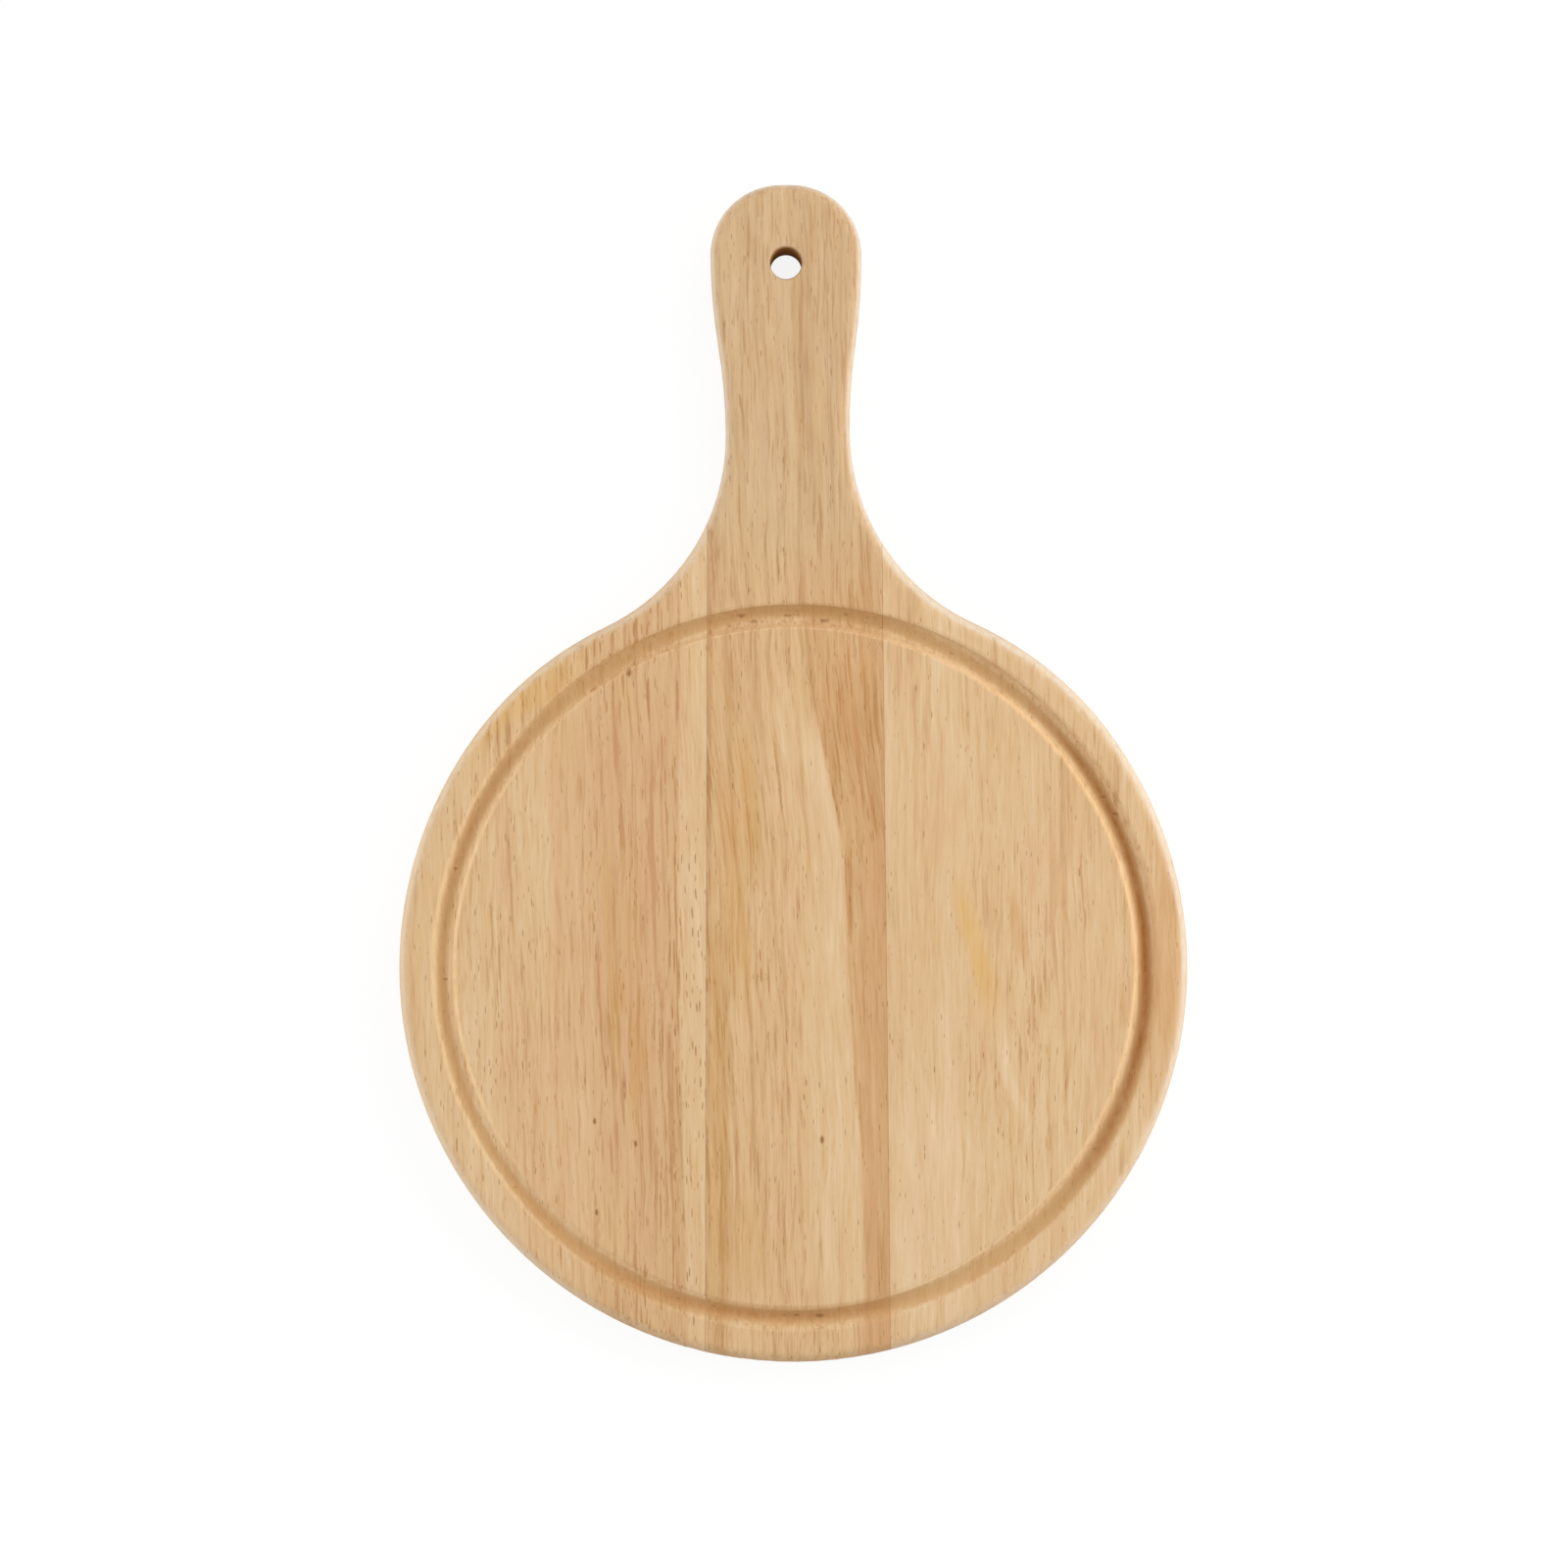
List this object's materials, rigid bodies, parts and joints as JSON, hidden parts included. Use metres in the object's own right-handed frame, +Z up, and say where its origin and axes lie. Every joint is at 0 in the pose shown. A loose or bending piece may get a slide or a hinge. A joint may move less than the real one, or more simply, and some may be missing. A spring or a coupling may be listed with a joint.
{
  "type": "round pizza serving board with handle",
  "caption": "Round wooden serving board with a juice groove near its rim, rounded edges and a long flared handle with a hanging hole, edge-glued from staves of rubberwood.",
  "frame": {"origin": "middle of the round plate, on the underside that rests on the table", "axes": "+Y along the handle from the plate's middle to the handle's end, +Z up out of the grooved serving face, +X to the right"},
  "size_m": [0.3, 0.448, 0.015],
  "materials": {
    "left_wood": "sanded and lightly oiled, satin",
    "handle_wood": "sanded and lightly oiled, satin",
    "right_wood": "sanded and lightly oiled, satin",
    "glue": "hardened adhesive, sanded flush with the wood"
  },
  "bodies": {
    "root": {"left_stave": "left_wood", "handle_stave": "handle_wood", "right_stave": "right_wood", "left_glue_line": "glue", "right_glue_line": "glue"}
  },
  "joints": []
}
